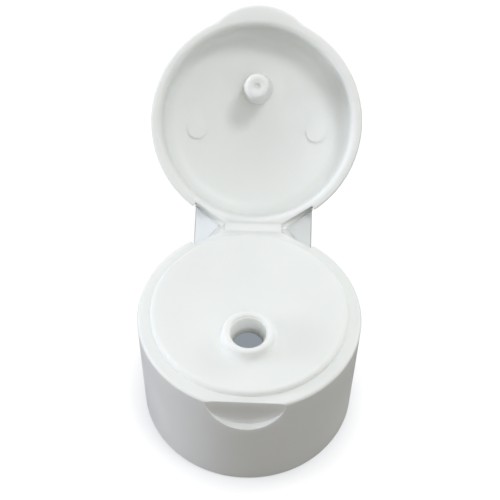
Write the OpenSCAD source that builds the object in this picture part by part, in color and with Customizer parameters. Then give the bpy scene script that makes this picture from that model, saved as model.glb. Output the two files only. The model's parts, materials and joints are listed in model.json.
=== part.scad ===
// Flip top cap: a one-piece moulded closure with a snap hinge.
// Origin: centre of the foot of the skirt, with the neck's axis along Z.
// The lid is drawn open, as it stands at rest. The hinge is at the back, +Y.

/* [Skirt] */
// Outer diameter of the skirt and of the lid
cap_d = 32; // [29:0.5:40]
// Height of the skirt, from the foot to the parting plane
base_h = 19.5; // [17:0.5:26]
// Wall of the outer skirt
skirt_wall = 1.5; // [1.2:0.1:1.8]
// Rounding of the outer edge of the foot
foot_round = 0.5; // [0.2:0.1:0.8]
// Rounding of the shelf's outer edge
shelf_round = 0.45; // [0.1:0.05:0.6]

/* [Neck socket] */
// Bore of the inner sleeve, over the thread of a 24 mm neck
neck_bore_d = 24.3; // [20:0.1:25]
// Wall of the inner sleeve
sleeve_wall = 1.2; // [0.8:0.1:1.3]

/* [Deck] */
// Radial clearance between the raised deck and the lid that closes over it
deck_clear = 0.25; // [0.2:0.05:1]
// Rise of the deck over the shelf
deck_rise = 0.9; // [0.5:0.1:1.6]
// Thickness of the top plate
top_t = 1.5; // [1:0.1:2.2]
// Rounding of the deck's edge
deck_round = 0.6; // [0.1:0.05:0.7]

/* [Nozzle] */
// Offset of the orifice from the neck's axis, towards the front
orifice_offset = 5.3; // [0:0.1:7]
// Diameter of the orifice
orifice_d = 4.2; // [3.6:0.1:4.6]
// Rise of the nozzle over the deck
nozzle_h = 1.8; // [1.2:0.1:2.4]
// Diameter of the nozzle over its straight wall
nozzle_d = 7.3; // [6.8:0.1:8.4]
// Radius of the cove where the nozzle meets the deck
nozzle_cove = 0.7; // [0.3:0.1:1]
// Thickness of the nozzle's rounded lip
lip_t = 1; // [0.5:0.05:1.1]
// Depth of the funnel above the orifice
funnel_h = 2.2; // [0.8:0.1:2.6]

/* [Thumb recess] */
// Radius of the half-round recess under the tab
recess_r = 5.45; // [4:0.05:6]
// Depth of the recess at the middle of the skirt
recess_depth = 0.95; // [0.5:0.05:1.1]

/* [Lid] */
// Height of the lid over its rim
lid_h = 7.2; // [6.8:0.1:13]
// Wall of the lid at its rim
lid_wall = 1.6; // [1.4:0.05:1.7]
// Thickness of the lid's top
lid_t = 1.3; // [1:0.1:1.8]
// Rounding of the lid's outer shoulder
shoulder_r = 2.4; // [1.2:0.1:2.8]
// Rounding inside the lid, where its wall meets its top
inside_r = 2; // [0.8:0.1:2.8]
// Rounding of the rim's outer edge
rim_round = 0.3; // [0.1:0.05:0.5]
// Rounding of the rim's inner edge
rim_in_round = 0.8; // [0.2:0.05:0.9]

/* [Tab] */
// Radius of the tab's outline
tab_r = 9; // [7:0.1:11]
// Reach of the tab past the lid's outline
tab_reach = 1.4; // [0.6:0.05:1.8]
// Thickness of the tab at the rim
tab_t = 1.9; // [1.2:0.1:2.6]
// Height over which the tab fades into the lid
tab_fade = 2.2; // [1:0.1:2.6]
// Rounding of the tab's lower edge
tab_round = 0.4; // [0.2:0.05:0.6]
// Radius of the blend between the tab's outline and the lid's
tab_blend = 12; // [4:1:20]

/* [Plug pin] */
// Radial clearance of the plug pin in the orifice
pin_clear = 0.08; // [0.04:0.01:0.15]
// Reach of the pin's tip past the rim plane
pin_reach = 1.5; // [0.6:0.05:1.8]
// Slimming of the pin's radius at its tip
pin_lead = 0.15; // [0.1:0.05:0.4]
// Height of the slimmed tip
pin_lead_h = 1.4; // [1:0.1:2.4]
// Rounding of the pin's tip
pin_round = 0.55; // [0.2:0.05:0.6]
// Diameter of the dished hollow in the pin's tip
pin_dish_d = 2.3; // [1.6:0.1:2.4]
// Depth of the dished hollow
pin_dish_h = 0.15; // [0.1:0.05:0.4]
// Diameter of the vent at the bottom of the dish
pin_vent_d = 0.9; // [0.4:0.05:1]
// Depth of the vent below the dish
pin_vent_h = 0.4; // [0.2:0.1:2]
// Height of the collar that carries the pin
collar_h = 2.2; // [1.2:0.1:3]
// Width of the collar at its foot, past the pin
collar_out = 0.4; // [0.3:0.1:1.4]

/* [Ejector pads] */
// Distance between the two pads inside the lid
pad_span = 18.6; // [14:0.1:20]
// Offset of the pads from the lid's middle, towards the hinge
pad_back = 1.2; // [0:0.1:2]
// Diameter of each pad
pad_d = 3; // [2:0.1:4]
// Height of each pad
pad_h = 0.4; // [0.2:0.05:0.6]

/* [Snap hinge] */
// Angle between the closed lid and the open lid at rest
open_deg = 133; // [120:1:150]
// Width of the straight film in the middle
film_w = 8.6; // [6:0.1:10]
// Thickness of the film
film_t = 0.3; // [0.2:0.05:0.4]
// Gap between the shelf and the closed lid's rim
part_gap = 0.2; // [0.1:0.05:0.4]
// Distance from the end of the film to the tip of a wing panel
wing_inset = 0.35; // [0.2:0.05:0.6]
// Distance of a wing panel's outer edge from the middle
wing_out = 9.1; // [8:0.1:10]
// Thickness of a wing panel
wing_t = 0.6; // [0.5:0.05:0.9]
// Gap between a wing panel and the walls, where its film bends
wing_gap = 0.15; // [0.1:0.05:0.25]
// Gap past a wing panel's outer end, where it swings out of its room
wing_end_gap = 0.25; // [0.2:0.05:0.8]
// Height of the flat hinge land on the skirt, below the wing panels
land_margin = 0.9; // [0.6:0.1:1.6]
// Height over which the land fades into the skirt
land_fade = 1; // [0.6:0.1:1.6]

/* [Hidden] */
$fn = 128;
cut = 1;
cap_r = cap_d / 2;
skirt_in_r = cap_r - skirt_wall;
neck_r = neck_bore_d / 2;
sleeve_r = neck_r + sleeve_wall;
deck_z = base_h + deck_rise;
ceiling_z = deck_z - top_t;
moat_z = base_h - top_t;
nozzle_r = nozzle_d / 2;
orifice_r = orifice_d / 2;
nozzle_z = deck_z + nozzle_h;
lip_r = lip_t / 2;
mouth_r = nozzle_r - lip_t;
pin_r = orifice_r - pin_clear;
lid_in_r = cap_r - lid_wall;
deck_r = lid_in_r - deck_clear;
ceil_h = lid_h - lid_t;
tab_y = cap_r + tab_reach - tab_r;
// Centre of the blend's arc, which touches the lid's outline and the tab's
blend_y = (pow(cap_r + tab_blend, 2) - pow(tab_r + tab_blend, 2) + pow(tab_y, 2)) / (2 * tab_y);
blend_x = sqrt(pow(cap_r + tab_blend, 2) - pow(blend_y, 2));
// The hinge line lies in the skirt's back face, halfway across the parting gap
hinge_z = base_h + part_gap / 2;
lid_z = base_h + part_gap;
wing_in = film_w / 2 + wing_inset;
wing_back = sqrt(pow(cap_r, 2) - pow(wing_out, 2));
wing_setback = cap_r - wing_back;
// Half the height of a panel that is free of strain both open and closed
wing_half = wing_setback * tan((360 - open_deg) / 4);
wing_run = wing_out - wing_in;
wing_len = sqrt(pow(wing_run, 2) + pow(wing_setback, 2));
wing_turn = atan2(wing_setback, wing_run);
wing_slope = atan2(wing_half, wing_len);
land_h = wing_half + land_margin + land_fade;
land_r = norm([wing_in, cap_r]);
// Tip and corners of a panel, as offsets from the tip
corner_low = [wing_run, -wing_setback, -wing_half];
corner_shut = [wing_run, -wing_setback, wing_half];
corner_open = [wing_run, -wing_setback * cos(open_deg) + wing_half * sin(open_deg),
    wing_setback * sin(open_deg) + wing_half * cos(open_deg)];
film_line = corner_low / norm(corner_low);
across_shut = corner_shut - film_line * (corner_shut * film_line);
across_open = corner_open - film_line * (corner_open * film_line);
wing_swing = acos(across_shut * across_open / (norm(across_shut) * norm(across_open)));

// Solid of revolution from a flat outline drawn at x of 0 and more
module turned() {
    rotate_extrude() intersection() {
        children();
        translate([0, -50]) square([50, 150]);
    }
}

// Rectangle from the axis to r, with its two outer corners rounded
module round_block(r, h, low, high) {
    square([r - max(low, high), h]);
    translate([0, low]) square([r, h - low - high]);
    square([r - low, h / 2]);
    translate([0, h / 2]) square([r - high, h / 2]);
    translate([r - low, low]) circle(low);
    translate([r - high, h - high]) circle(high);
}

// Flat land behind the hinge, within the turned outline given as a child
module hinge_land(z_low, z_high) {
    intersection() {
        translate([0, 0, z_low]) linear_extrude(z_high - z_low) polygon([
            [-wing_out, wing_back - 1],
            [-wing_out, wing_back],
            [-wing_in, cap_r],
            [wing_in, cap_r],
            [wing_out, wing_back],
            [wing_out, wing_back - 1]
        ]);
        turned() children();
    }
}

// Places a child drawn in the closed panel's plane: x along it, z up, y out
module at_wing(side) {
    mirror([side < 0 ? 1 : 0, 0, 0])
        translate([wing_in, cap_r, hinge_z])
            rotate([0, 0, -wing_turn])
                children();
}

// Room for a closed wing panel in the walls of the skirt and the lid
module wing_room(side) {
    reach = 1 + wing_end_gap / wing_len;
    at_wing(side) translate([0, cut, 0]) rotate([90, 0, 0])
        linear_extrude(cut + wing_t + wing_gap) polygon([
            [0, 0],
            [wing_len * reach, -wing_half * reach],
            [wing_len * reach, wing_half * reach]
        ]);
}

// Wing panel in its closed place, clear of the walls by the gap. Its outer end
// is bevelled, so that the inner edge swings clear of the walls
module wing_panel() {
    tip = wing_gap / sin(wing_slope);
    half = (wing_len - tip) * tan(wing_slope);
    intersection() {
        rotate([90, 0, 0]) linear_extrude(wing_t) polygon([
            [tip, 0],
            [wing_len, -half],
            [wing_len, half]
        ]);
        translate([0, 0, -wing_half]) linear_extrude(2 * wing_half) polygon([
            [0, -wing_t],
            [wing_len - wing_t, -wing_t],
            [wing_len, 0],
            [0, 0]
        ]);
    }
}

// Wing panel swung out about its film line on the skirt, with the lid open
module open_wing(side) {
    mirror([side < 0 ? 1 : 0, 0, 0])
        translate([wing_in, cap_r, hinge_z])
            rotate(a = -wing_swing, v = film_line)
                rotate([0, 0, -wing_turn])
                    wing_panel();
}

// Raised nozzle with a rounded lip and a cove at its foot
module nozzle() {
    translate([0, -orifice_offset, deck_z]) turned() {
        square([nozzle_r, nozzle_h - lip_r]);
        translate([nozzle_r - lip_r, nozzle_h - lip_r]) circle(lip_r);
        difference() {
            translate([0, -0.2]) square([nozzle_r + nozzle_cove, nozzle_cove + 0.2]);
            translate([nozzle_r + nozzle_cove, nozzle_cove]) circle(nozzle_cove);
        }
    }
}

// Orifice through the top plate, with its dished funnel
module orifice() {
    translate([0, -orifice_offset, 0]) {
        translate([0, 0, ceiling_z - cut])
            cylinder(h = nozzle_z - ceiling_z + 2 * cut, r = orifice_r);
        translate([0, 0, nozzle_z - funnel_h])
            cylinder(h = funnel_h, r1 = orifice_r, r2 = mouth_r);
        translate([0, 0, nozzle_z - 0.01])
            cylinder(h = cut, r = mouth_r);
    }
}

module base() {
    color("whitesmoke") difference() {
        union() {
            turned() {
                round_block(cap_r, base_h, foot_round, shelf_round);
                round_block(deck_r, deck_z, 0.2, deck_round);
            }
            hinge_land(base_h - land_h, base_h) polygon([
                [0, base_h - land_h],
                [cap_r, base_h - land_h],
                [land_r + 0.1, base_h - land_h + land_fade],
                [land_r + 0.1, base_h],
                [0, base_h]
            ]);
            nozzle();
        }
        translate([0, 0, -cut]) cylinder(h = ceiling_z + cut, r = neck_r);
        turned() translate([sleeve_r, -cut]) square([skirt_in_r - sleeve_r, moat_z + cut]);
        translate([0, -cap_r + recess_depth, base_h]) rotate([90, 0, 0])
            cylinder(h = recess_depth + cut, r = recess_r);
        orifice();
        wing_room(-1);
        wing_room(1);
    }
}

// Tab at the front of the rim, faded into the lid above it
module tab() {
    top_r = tab_r - tab_reach - tab_round;
    translate([0, -tab_y, 0]) turned() {
        square([tab_r - tab_round, tab_t]);
        translate([0, tab_round]) square([tab_r, tab_t - tab_round]);
        translate([tab_r - tab_round, tab_round]) circle(tab_round);
        polygon([[0, tab_t], [tab_r, tab_t], [top_r, tab_t + tab_fade], [0, tab_t + tab_fade]]);
    }
    for (side = [-1, 1]) difference() {
        linear_extrude(tab_t + tab_fade)
            polygon([[0, 0], [0, -tab_y], [side * blend_x, -blend_y]]);
        translate([side * blend_x, -blend_y, 0]) turned() polygon([
            [0, -cut],
            [tab_blend + tab_round + cut, -cut],
            [tab_blend, tab_round],
            [tab_blend, tab_t],
            [tab_blend + tab_reach + tab_round, tab_t + tab_fade + 0.01],
            [0, tab_t + tab_fade + 0.01]
        ]);
    }
}

// Plug pin that shuts the orifice, with its tip down and its collar at the top
module plug_pin() {
    tip_r = pin_r - pin_lead;
    translate([0, -orifice_offset, -pin_reach]) difference() {
        turned() {
            square([tip_r - pin_round, 2 * pin_round]);
            translate([tip_r - pin_round, pin_round]) circle(pin_round);
            polygon([[0, pin_round], [tip_r, pin_round], [pin_r, pin_round + pin_lead_h],
                [0, pin_round + pin_lead_h]]);
            translate([0, pin_round + pin_lead_h - 0.01])
                square([pin_r, ceil_h + pin_reach - pin_round - pin_lead_h + 0.2]);
            translate([0, ceil_h + pin_reach - collar_h])
                polygon([[0, 0], [pin_r, 0], [pin_r + collar_out, collar_h],
                    [pin_r + collar_out, collar_h + 0.2], [0, collar_h + 0.2]]);
        }
        cylinder(h = 2 * pin_dish_h, d1 = 2 * pin_dish_d - pin_vent_d, d2 = pin_vent_d, center = true);
        cylinder(h = pin_dish_h + pin_vent_h, d = pin_vent_d);
    }
}

// Lid as moulded, with its rim at z of 0 and its top up
module lid_shell() {
    difference() {
        union() {
            turned() round_block(cap_r, lid_h, rim_round, shoulder_r);
            hinge_land(0, lid_h) {
                square([land_r, lid_h - shoulder_r - land_r + cap_r]);
                translate([cap_r - shoulder_r, lid_h - shoulder_r - land_r + cap_r])
                    circle(shoulder_r + land_r - cap_r);
            }
            tab();
        }
        translate([0, 0, -cut]) turned() {
            difference() {
                square([lid_in_r, ceil_h + cut]);
                translate([lid_in_r - inside_r, ceil_h + cut - inside_r])
                    square(inside_r + cut);
            }
            square([lid_in_r - inside_r, ceil_h + cut]);
            translate([lid_in_r - inside_r, ceil_h + cut - inside_r]) circle(inside_r);
        }
        turned() difference() {
            translate([lid_in_r - cut, -cut]) square(rim_in_round + cut);
            translate([lid_in_r + rim_in_round, rim_in_round]) circle(rim_in_round);
        }
    }
    plug_pin();
    for (side = [-1, 1])
        translate([side * pad_span / 2, pad_back, ceil_h - pad_h])
            cylinder(h = pad_h + 0.2, d = pad_d);
}

module lid() {
    color("white")
        translate([0, cap_r, hinge_z]) rotate([-open_deg, 0, 0])
            translate([0, -cap_r, -hinge_z])
                difference() {
                    translate([0, 0, lid_z]) lid_shell();
                    wing_room(-1);
                    wing_room(1);
                }
}

// Film between the two lands, bent round the hinge line with the lid open
module hinge_film() {
    near = part_gap / 2;
    far = sqrt(pow(film_t, 2) + pow(near, 2));
    tilt = atan2(near, film_t);
    steps = 16;
    inner = [for (i = [0 : steps])
        let (a = -tilt + (open_deg + 2 * tilt) * i / steps)
        [-far * cos(a), far * sin(a)]];
    outer = [for (i = [0 : steps / 4])
        let (a = 90 + open_deg + (180 - open_deg) * i * 4 / steps)
        [-near * cos(a), near * sin(a)]];
    color("gainsboro") translate([film_w / 2, cap_r, hinge_z]) rotate([90, 0, -90])
        linear_extrude(film_w) polygon([for (p = concat(inner, outer)) [-p[0], p[1]]]);
}

module wing_left() {
    color("lightgray") open_wing(-1);
}

module wing_right() {
    color("silver") open_wing(1);
}

base();
lid();
hinge_film();
wing_left();
wing_right();
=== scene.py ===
import json
import math

import bmesh
import bpy
from mathutils import Matrix, Quaternion, Vector

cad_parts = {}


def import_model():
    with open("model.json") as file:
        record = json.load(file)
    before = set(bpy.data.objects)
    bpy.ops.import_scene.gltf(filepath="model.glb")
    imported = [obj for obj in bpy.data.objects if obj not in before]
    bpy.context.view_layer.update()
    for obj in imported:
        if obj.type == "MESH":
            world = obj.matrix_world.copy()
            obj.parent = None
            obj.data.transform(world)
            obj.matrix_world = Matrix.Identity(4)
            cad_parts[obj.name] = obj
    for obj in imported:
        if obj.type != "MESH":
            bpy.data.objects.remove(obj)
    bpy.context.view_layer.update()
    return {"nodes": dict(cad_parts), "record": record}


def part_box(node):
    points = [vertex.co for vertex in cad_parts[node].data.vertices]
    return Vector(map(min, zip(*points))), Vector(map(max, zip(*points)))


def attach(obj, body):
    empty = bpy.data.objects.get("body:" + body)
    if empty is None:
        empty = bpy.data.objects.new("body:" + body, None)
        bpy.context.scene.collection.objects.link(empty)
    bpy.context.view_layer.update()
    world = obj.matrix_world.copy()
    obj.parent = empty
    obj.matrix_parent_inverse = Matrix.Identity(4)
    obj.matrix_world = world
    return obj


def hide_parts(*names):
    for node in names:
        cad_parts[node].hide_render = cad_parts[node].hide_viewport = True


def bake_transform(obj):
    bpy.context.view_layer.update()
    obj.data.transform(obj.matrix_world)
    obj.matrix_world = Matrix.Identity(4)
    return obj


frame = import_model()
MM = 0.001

# Sizes of the cap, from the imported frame
JOINTS = {joint["name"]: joint for joint in frame["record"]["behaviour"]["joints"]}
NECK_R = frame["record"]["mounts"][0]["dims"]["r_mm"] * MM
CAP_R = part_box("base")[1][0]
HINGE = Vector(JOINTS["lid_hinge"]["pos_m"])
OPEN = math.radians(JOINTS["lid_hinge"]["range_deg"][1])
FILM_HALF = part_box("hinge_film")[1][0]
WING_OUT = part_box("wing_right")[1][0]

# Sizes that the frame doesn't hold, as in the part's source
PART_GAP = 0.2 * MM
WING_GAP = 0.15 * MM
# How deep the hidden edges of a film lie in the walls
SINK = 0.04 * MM

# Tones of the floor as the camera sees it, with painted shade under the cap, and of the room as
# light
FLOOR_GLOW = 0.72
FLOOR_FAR = 0.9
FLOOR_UNDER_PAINTED_SHADE = (0.27, 0.30, 0.33)
ROOM = 0.41
ROOM_COLOUR = (1.0, 0.95, 0.89)


def new_material(name):
    """Empty material with a Principled shader."""
    mat = bpy.data.materials.new(name)
    mat.use_nodes = True
    tree = mat.node_tree
    tree.nodes.clear()
    out = tree.nodes.new("ShaderNodeOutputMaterial")
    bsdf = tree.nodes.new("ShaderNodeBsdfPrincipled")
    tree.links.new(bsdf.outputs["BSDF"], out.inputs["Surface"])
    return mat, tree, bsdf


def noise(tree, coords, scale, detail, distortion=0.0):
    """Noise in the object's own space."""
    node = tree.nodes.new("ShaderNodeTexNoise")
    node.inputs["Scale"].default_value = scale
    node.inputs["Detail"].default_value = detail
    node.inputs["Distortion"].default_value = distortion
    tree.links.new(coords, node.inputs["Vector"])
    return node.outputs["Fac"]


def bump(tree, height, strength, distance, below=None):
    """Bump of a height over the one below it."""
    node = tree.nodes.new("ShaderNodeBump")
    node.inputs["Strength"].default_value = strength
    node.inputs["Distance"].default_value = distance
    tree.links.new(height, node.inputs["Height"])
    if below is not None:
        tree.links.new(below, node.inputs["Normal"])
    return node.outputs["Normal"]


def moulded_plastic(name, colour, rough, relief=1.0, soft=0.6):
    """Moulded polypropylene: soft sheen, faint flow mottling, fine mould grain."""
    mat, tree, bsdf = new_material(name)
    coords = tree.nodes.new("ShaderNodeTexCoord").outputs["Object"]
    flow = noise(tree, coords, 95.0, 3.0, 0.4)

    tint = tree.nodes.new("ShaderNodeValToRGB")
    tint.color_ramp.elements[0].position = 0.35
    tint.color_ramp.elements[0].color = (colour[0] * 0.975, colour[1] * 0.98, colour[2] * 0.98, 1.0)
    tint.color_ramp.elements[1].position = 0.65
    tint.color_ramp.elements[1].color = (*colour, 1.0)
    tree.links.new(flow, tint.inputs["Fac"])
    tree.links.new(tint.outputs["Color"], bsdf.inputs["Base Color"])

    sheen = tree.nodes.new("ShaderNodeMapRange")
    sheen.inputs["From Min"].default_value = 0.3
    sheen.inputs["From Max"].default_value = 0.7
    sheen.inputs["To Min"].default_value = rough - 0.05
    sheen.inputs["To Max"].default_value = rough + 0.07
    tree.links.new(flow, sheen.inputs["Value"])
    tree.links.new(sheen.outputs["Result"], bsdf.inputs["Roughness"])

    grain = bump(tree, noise(tree, coords, 2600.0, 2.0), 0.10 * relief, 0.05 * MM)
    waves = bump(tree, noise(tree, coords, 180.0, 1.0), 0.10 * relief, 0.2 * MM, grain)
    tree.links.new(waves, bsdf.inputs["Normal"])

    bsdf.inputs["IOR"].default_value = 1.49
    bsdf.inputs["Specular IOR Level"].default_value = 0.45
    bsdf.inputs["Subsurface Weight"].default_value = soft
    bsdf.inputs["Subsurface Radius"].default_value = (1.0, 0.95, 0.9)
    bsdf.inputs["Subsurface Scale"].default_value = 1.3 * MM
    return mat


WHITE = (0.88, 0.90, 0.89)
plastic = moulded_plastic("white_moulding", WHITE, 0.38)
film_plastic = moulded_plastic("hinge_films", WHITE, 0.38, 0.6, 0.0)
# The wing panels take the white darkened and cooled: painted shade on the thin panels
wing_plastic_painted_shade = moulded_plastic("thin_panels_painted_shade", (0.80, 0.84, 0.85), 0.30, 0.6)

for name, node in frame["nodes"].items():
    node.data.materials.clear()
    node.data.materials.append(wing_plastic_painted_shade if name.startswith("wing") else plastic)


def mesh_piece(name, verts, faces, mat):
    """Smooth mesh object from points and faces."""
    mesh = bpy.data.meshes.new(name)
    mesh.from_pydata([tuple(v) for v in verts], [], faces)
    edit = bmesh.new()
    edit.from_mesh(mesh)
    bmesh.ops.recalc_face_normals(edit, faces=edit.faces)
    edit.to_mesh(mesh)
    edit.free()
    for poly in mesh.polygons:
        poly.use_smooth = True
    mesh.set_sharp_from_angle(angle=math.radians(50))
    obj = bpy.data.objects.new(name, mesh)
    bpy.context.scene.collection.objects.link(obj)
    obj.data.materials.append(mat)
    return obj


def tube_faces(rings, count):
    """Faces of a closed tube of rings with count points each, ends included."""
    faces = []
    for k in range(rings - 1):
        for i in range(count):
            j = (i + 1) % count
            faces.append((k * count + i, k * count + j, (k + 1) * count + j, (k + 1) * count + i))
    faces.append(tuple(range(count)))
    faces.append(tuple((rings - 1) * count + i for i in reversed(range(count))))
    return faces


def middle_film():
    """Film bent round the hinge line: one hollow section, carried along X."""
    near = PART_GAP / 2
    outer_steps, inner_steps, across_steps = 16, 4, 14
    # Hollow outer face, tangent to the lands of the skirt and the lid
    half, toe = OPEN / 2, 0.75 * MM
    corner = near / math.sin(half)
    bend_r = toe * math.tan(half)
    centre = bend_r / math.sin(half) - corner
    low = (corner * math.cos(half) - toe, -near - SINK)
    section = [low]
    for i in range(outer_steps + 1):
        a = math.pi / 2 + (OPEN - math.pi) * i / outer_steps
        y = bend_r * math.cos(a) - centre * math.cos(half)
        z = centre * math.sin(half) - bend_r * math.sin(a)
        section.append((y, z))
    a, r = OPEN - math.atan2(low[1], -low[0]), math.hypot(*low)
    section.append((-r * math.cos(a), r * math.sin(a)))
    for i in range(inner_steps + 1):
        a = math.pi / 2 + OPEN + (math.pi - OPEN) * i / inner_steps
        section.append((-near * math.cos(a), near * math.sin(a)))
    verts = []
    for k in range(across_steps + 1):
        x = FILM_HALF * (2 * k / across_steps - 1)
        verts += [(x, HINGE.y + y, HINGE.z + z) for y, z in section]
    faces = tube_faces(across_steps + 1, len(section))
    obj = mesh_piece("middle_film", verts, faces, film_plastic)
    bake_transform(obj)
    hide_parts("hinge_film")


def edge_film(name, tip, along, inward, across, length, body):
    """Web along a slanting edge of a wing panel, with a hollow inner face."""
    hollow_r, past, steps, rings = 0.5 * MM, 0.02 * MM, 8, 10
    centre = hollow_r - WING_GAP
    back = -WING_GAP - SINK
    # Section: inward from the outer face, and across to the panel
    section = [(centre + past, -0.05 * MM), (past, -0.05 * MM), (-0.10 * MM, -SINK)]
    section += [(back, 0.0), (back, hollow_r + past)]
    for i in range(steps + 1):
        a = math.pi / 2 * i / steps
        section.append((centre - hollow_r * math.cos(a), hollow_r - hollow_r * math.sin(a)))
    verts = []
    for k in range(rings + 1):
        place = tip + along * (length * k / rings)
        verts += [place + inward * u + across * v for u, v in section]
    obj = mesh_piece(name, verts, tube_faces(rings + 1, len(section)), film_plastic)
    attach(obj, body)


def edge_films():
    """The four edge films: two on the skirt, and two on the lid."""
    share = 0.97
    for side, name in ((-1, "left"), (1, "right")):
        joint = JOINTS["wing_%s_film" % name]
        tip = Vector(joint["pos_m"])
        low = Vector(joint["axis"]).normalized()
        low = low if low.x * side > 0 else -low
        inward = Vector((low.y, -low.x, 0)).normalized() * side
        across = low.cross(inward) * side
        across = across if across.z > 0 else -across
        length = (WING_OUT - abs(tip.x)) / abs(low.x) * share
        edge_film("skirt_film_" + name, tip, low, inward, across, length, "base")
        turned = []
        for vector in (low, inward, across):
            high = Vector((vector.x, vector.y, -vector.z))
            high.rotate(Quaternion((1, 0, 0), -OPEN))
            turned.append(high)
        edge_film("lid_film_" + name, tip, *turned, length, "lid")


middle_film()
edge_films()


def neck_thread():
    """Inner thread of the sleeve: a rounded ridge, faded at both ends."""
    pitch, turns, crest, width = 3.18 * MM, 1.6, 0.85 * MM, 1.5 * MM
    start_z, start_angle, rings, fade_share = 4.2 * MM, 0.6, 150, 14
    # Half the ridge's section: place across its width, and height
    half = [(0.5, -0.06), (0.3, 0.62), (0.16, 0.95)]
    section = [(-s, h) for s, h in half] + [(0.0, 1.0)] + list(reversed(half))
    verts = []
    for k in range(rings + 1):
        t = k / rings
        a = 2 * math.pi * turns * t + start_angle
        fade = min(1.0, t * fade_share, (1 - t) * fade_share)
        fade = fade * fade * (3 - 2 * fade)
        for s, h in section:
            r = NECK_R + 0.03 * MM - max(h, -0.05) * crest * max(fade, 0.02)
            z = start_z + pitch * turns * t + s * width * (0.5 + 0.5 * fade)
            verts.append((r * math.cos(a), r * math.sin(a), z))
    obj = mesh_piece("neck_thread", verts, tube_faces(rings + 1, len(section)), plastic)
    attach(obj, "base")


neck_thread()


def floor():
    """Pale floor: white to the camera, duller as a bounce card, with a dim painted shade under the
    cap.
    """
    half, near_reach, far_reach = 3.0, 0.16, 0.45
    corners = [(-half, -half, 0), (half, -half, 0), (half, half, 0), (-half, half, 0)]
    mesh = bpy.data.meshes.new("floor")
    mesh.from_pydata(corners, [], [(0, 1, 2, 3)])
    obj = bpy.data.objects.new("floor", mesh)
    obj.location.z = -0.02 * MM
    bpy.context.scene.collection.objects.link(obj)
    mat = bpy.data.materials.new("floor_paper")
    mat.use_nodes = True
    tree = mat.node_tree
    tree.nodes.clear()
    out = tree.nodes.new("ShaderNodeOutputMaterial")

    # Distance from the cap's axis in metres, to put painted shade under the cap in place of the
    # glow
    coords = tree.nodes.new("ShaderNodeTexCoord").outputs["Object"]
    reach = tree.nodes.new("ShaderNodeVectorMath")
    reach.operation = "LENGTH"
    tree.links.new(coords, reach.inputs[0])
    shade = tree.nodes.new("ShaderNodeValToRGB")
    shade.color_ramp.elements[0].position = CAP_R * 0.95
    shade.color_ramp.elements[0].color = (*FLOOR_UNDER_PAINTED_SHADE, 1)
    for place, level in ((CAP_R, FLOOR_GLOW), (near_reach, FLOOR_GLOW), (far_reach, FLOOR_FAR)):
        stop = shade.color_ramp.elements.new(place)
        stop.color = (level, level, level, 1)
    tree.links.new(reach.outputs["Value"], shade.inputs["Fac"])

    glow = tree.nodes.new("ShaderNodeEmission")
    glow.inputs["Strength"].default_value = 1.0
    tree.links.new(shade.outputs["Color"], glow.inputs["Color"])
    catch = tree.nodes.new("ShaderNodeBsdfDiffuse")
    catch.inputs["Color"].default_value = (0.40, 0.40, 0.40, 1)
    seen = tree.nodes.new("ShaderNodeAddShader")
    tree.links.new(glow.outputs[0], seen.inputs[0])
    tree.links.new(catch.outputs[0], seen.inputs[1])
    dull = tree.nodes.new("ShaderNodeBsdfDiffuse")
    dull.inputs["Color"].default_value = (0.13, 0.12, 0.105, 1)

    path = tree.nodes.new("ShaderNodeLightPath")
    mix = tree.nodes.new("ShaderNodeMixShader")
    tree.links.new(path.outputs["Is Camera Ray"], mix.inputs["Fac"])
    tree.links.new(dull.outputs[0], mix.inputs[1])
    tree.links.new(seen.outputs[0], mix.inputs[2])

    # From below, the floor is clear
    below = tree.nodes.new("ShaderNodeNewGeometry").outputs["Backfacing"]
    clear = tree.nodes.new("ShaderNodeBsdfTransparent")
    face = tree.nodes.new("ShaderNodeMixShader")
    tree.links.new(below, face.inputs["Fac"])
    tree.links.new(mix.outputs[0], face.inputs[1])
    tree.links.new(clear.outputs[0], face.inputs[2])
    tree.links.new(face.outputs[0], out.inputs["Surface"])
    obj.data.materials.append(mat)


def world():
    """White backdrop for the camera, and a dim room for all else."""
    studio = bpy.data.worlds.new("studio")
    bpy.context.scene.world = studio
    studio.use_nodes = True
    tree = studio.node_tree
    tree.nodes.clear()
    out = tree.nodes.new("ShaderNodeOutputWorld")
    room = tree.nodes.new("ShaderNodeBackground")
    room.inputs["Color"].default_value = (*ROOM_COLOUR, 1)
    room.inputs["Strength"].default_value = ROOM
    clear = tree.nodes.new("ShaderNodeBackground")
    clear.inputs["Color"].default_value = (1, 1, 1, 1)
    clear.inputs["Strength"].default_value = 1.0
    path = tree.nodes.new("ShaderNodeLightPath")
    mix = tree.nodes.new("ShaderNodeMixShader")
    tree.links.new(path.outputs["Is Camera Ray"], mix.inputs["Fac"])
    tree.links.new(room.outputs[0], mix.inputs[1])
    tree.links.new(clear.outputs[0], mix.inputs[2])
    tree.links.new(mix.outputs[0], out.inputs["Surface"])


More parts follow.
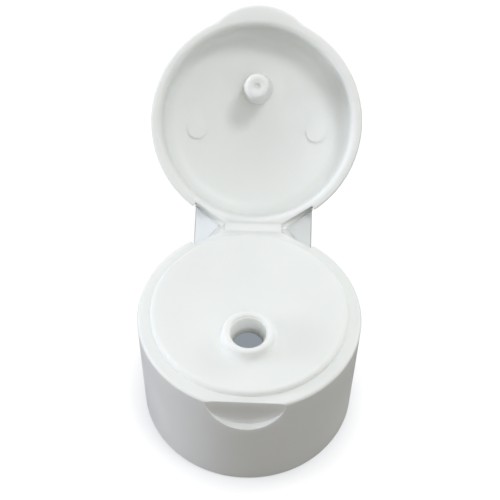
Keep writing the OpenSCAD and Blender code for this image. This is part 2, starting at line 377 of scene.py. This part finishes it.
def soft_light(name, direction, size, power, colour, glossy=True):
    """Round area light that faces the cap from a direction, with or without a highlight."""
    distance = 0.6
    light = bpy.data.lights.new(name, "AREA")
    light.shape = "DISK"
    light.size = size
    light.energy = power
    light.color = colour
    obj = bpy.data.objects.new(name, light)
    bpy.context.scene.collection.objects.link(obj)
    aim = Vector((0, 0.008, 0.02))
    away = Vector(direction).normalized()
    obj.location = aim + away * distance
    obj.rotation_mode = "QUATERNION"
    obj.rotation_quaternion = away.to_track_quat("Z", "Y")
    obj.visible_glossy = glossy


floor()
world()
# Name, direction from the cap, size in metres, power in watts, colour and highlight
soft_light("key", (0.31, -0.2, 0.93), 0.16, 0.93, (0.96, 0.98, 1.0))
soft_light("top", (-0.25, 0.3, 0.92), 0.60, 0.68, (0.86, 0.97, 1.0))
soft_light("cool_left", (-0.97, -0.03, 0.08), 0.35, 3.0, (0.87, 0.90, 1.0), False)
soft_light("right", (0.77, 0.6, 0.2), 0.35, 1.2, (0.95, 0.99, 1.0), False)
soft_light("front", (0.2, -0.72, 0.62), 0.40, 0.46, (0.96, 0.98, 1.0))
soft_light("behind", (0.0, 0.98, 0.05), 0.50, 0.9, (0.93, 0.97, 1.0), False)


def camera():
    """Camera of the photograph, fitted to the cap's rims and its foot."""
    e, turn, roll = (math.radians(v) for v in (49.473, -1.067, 1.133))
    forward = Vector((math.sin(turn) * math.cos(e), math.cos(turn) * math.cos(e), -math.sin(e)))
    right = Vector((math.cos(turn), -math.sin(turn), 0.0))
    up = right.cross(forward)
    x = right * math.cos(roll) + up * math.sin(roll)
    y = up * math.cos(roll) - right * math.sin(roll)
    aim = Vector((-0.0193, 0.7382, 1.2)) * CAP_R
    place = aim - forward * (9.297 * CAP_R)
    cam = bpy.data.cameras.new("camera")
    cam.sensor_width = 36.0
    cam.lens = 71.17
    cam.clip_start = 0.01
    obj = bpy.data.objects.new("camera", cam)
    bpy.context.scene.collection.objects.link(obj)
    turned = Matrix((x, y, -forward)).transposed()
    obj.matrix_world = Matrix.Translation(place) @ turned.to_4x4()
    bpy.context.scene.camera = obj


camera()
bpy.context.scene.view_settings.view_transform = "Standard"
